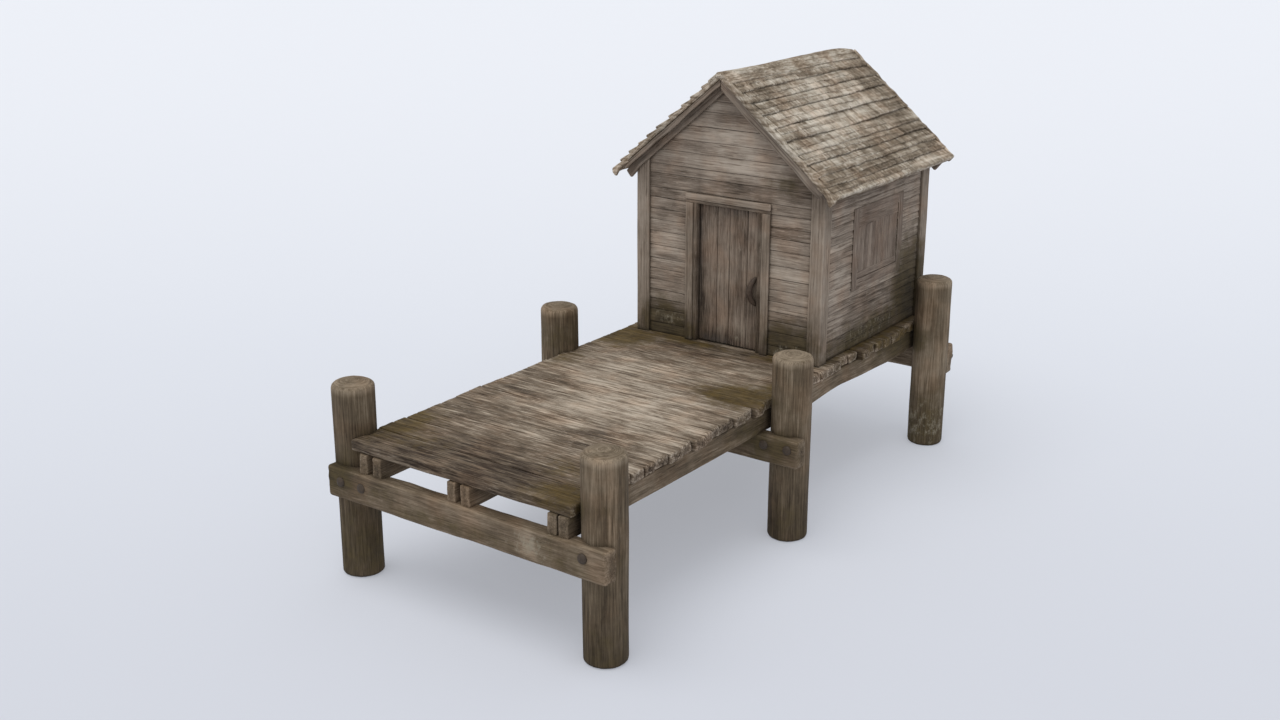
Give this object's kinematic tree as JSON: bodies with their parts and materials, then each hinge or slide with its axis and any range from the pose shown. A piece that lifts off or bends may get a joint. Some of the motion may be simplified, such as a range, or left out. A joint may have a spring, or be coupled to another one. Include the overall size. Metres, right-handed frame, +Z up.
{
  "type": "fishing dock with hut",
  "caption": "Timber fishing dock: a plank deck on log piles with cross-beams, and a gabled shingle-roofed hut with a plank door that swings inward.",
  "frame": {"origin": "on the ground plane under the middle of the whole dock (centre of its bounding box in X and Y, feet of the piles in Z)", "axes": "+Z up, +Y from the open end of the deck towards the back of the hut (longest extent), +X to the right of the hut door as one faces it"},
  "size_m": [3.96, 8.155, 5.164],
  "materials": {
    "pile_logs": "weathered grey-brown log, streaked, mossy at the foot",
    "framing": "weathered rough-sawn timber with moss stains",
    "deck_planks": "worn grey-beige planks with cracks",
    "trim_boards": "weathered corner and casing boards",
    "wall_boards": "weathered horizontal boarding",
    "shutter_boards": "weathered vertical boards",
    "shingles": "sun-bleached split wood shingles",
    "roof_timber": "weathered sawn timber",
    "door_boards": "darker weathered vertical planks",
    "dark_iron": "dark brown rusted iron"
  },
  "bodies": {
    "dock": {"pile_front_left": "pile_logs", "pile_front_right": "pile_logs", "pile_middle_left": "pile_logs", "pile_middle_right": "pile_logs", "pile_back_left": "pile_logs", "pile_back_right": "pile_logs", "cross_beam_front": "framing", "cross_beam_middle": "framing", "cross_beam_back": "framing", "stringers_left": "framing", "stringers_centre": "framing", "stringers_right": "framing", "deck_front": "deck_planks", "hut_floor": "deck_planks", "corner_post_front_left": "trim_boards", "corner_post_front_right": "trim_boards", "corner_post_back_left": "trim_boards", "corner_post_back_right": "trim_boards", "front_wall_left": "wall_boards", "front_wall_right": "wall_boards", "front_gable": "wall_boards", "back_wall": "wall_boards", "left_wall_over_window": "wall_boards", "left_wall_under_window": "wall_boards", "left_wall_beside_window": "wall_boards", "left_window_surround": "shutter_boards", "left_window_shutter": "shutter_boards", "right_wall_over_window": "wall_boards", "right_wall_under_window": "wall_boards", "right_wall_beside_window": "wall_boards", "right_window_surround": "shutter_boards", "right_window_shutter": "shutter_boards", "rafters": "roof_timber", "roof_left": "shingles", "roof_right": "shingles", "ridge_cap": "shingles", "barge_boards_left": "roof_timber", "barge_boards_right": "roof_timber", "door_jamb_left": "trim_boards", "door_jamb_right": "trim_boards", "door_head": "trim_boards", "door_hinge_pintles": "dark_iron"},
    "door": {"door_leaf": "door_boards", "door_pull": "dark_iron", "door_hinge_straps": "dark_iron"}
  },
  "joints": [
    {"name": "door_hinge", "type": "hinge", "parent": "dock", "child": "door", "pos_m": [-0.455, 1.1735, 2.59], "axis": [0, 0, 1], "range_deg": [0, 105]}
  ]
}
